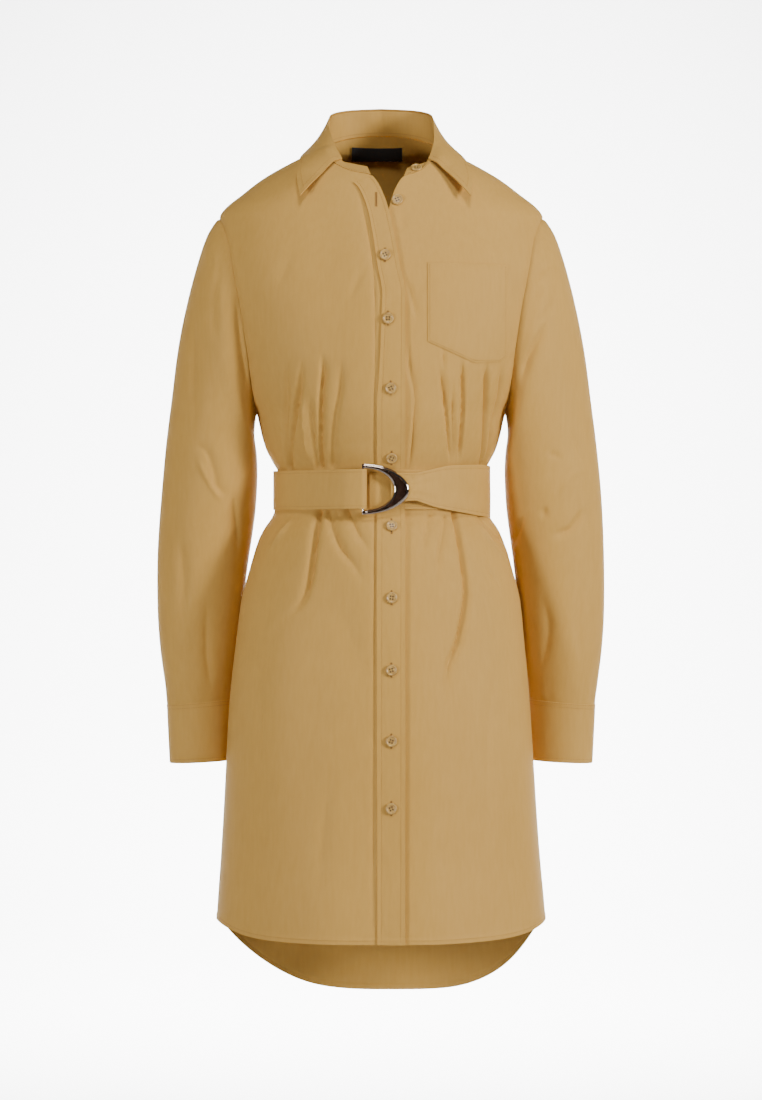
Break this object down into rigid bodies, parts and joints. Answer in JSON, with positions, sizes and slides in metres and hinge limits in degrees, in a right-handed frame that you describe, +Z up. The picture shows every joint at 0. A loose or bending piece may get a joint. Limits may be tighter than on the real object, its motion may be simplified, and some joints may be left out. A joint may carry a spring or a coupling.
{
  "type": "shirt dress",
  "caption": "Long-sleeved shirt dress with a pointed collar, button band, breast pocket, ring belt and shirt-tail hem, filled out as if worn.",
  "frame": {"origin": "on the body's axis, level with the shoulders that hold the dress up", "axes": "+Z up, the front faces -Y, +X is the wearer's left"},
  "size_m": [0.541, 0.2761, 1.0828],
  "materials": {
    "cloth": "smooth tan cotton twill",
    "rings": "polished",
    "buttons": "satin",
    "label": "woven, bare"
  },
  "bodies": {
    "root": {"front_right": "cloth", "front_left": "cloth", "back": "cloth", "placket": "cloth", "pocket": "cloth", "sleeve_right": "cloth", "sleeve_left": "cloth", "cuff_right": "cloth", "cuff_left": "cloth", "collar_stand": "cloth", "collar_leaf": "cloth", "belt": "cloth", "belt_tail": "cloth", "ring_back": "rings", "ring_front": "rings", "button_1": "buttons", "button_2": "buttons", "button_3": "buttons", "button_4": "buttons", "button_5": "buttons", "button_6": "buttons", "button_7": "buttons", "button_8": "buttons", "button_9": "buttons", "button_10": "buttons", "button_collar": "buttons", "button_cuff_right": "buttons", "button_cuff_left": "buttons", "label": "label"}
  },
  "joints": []
}
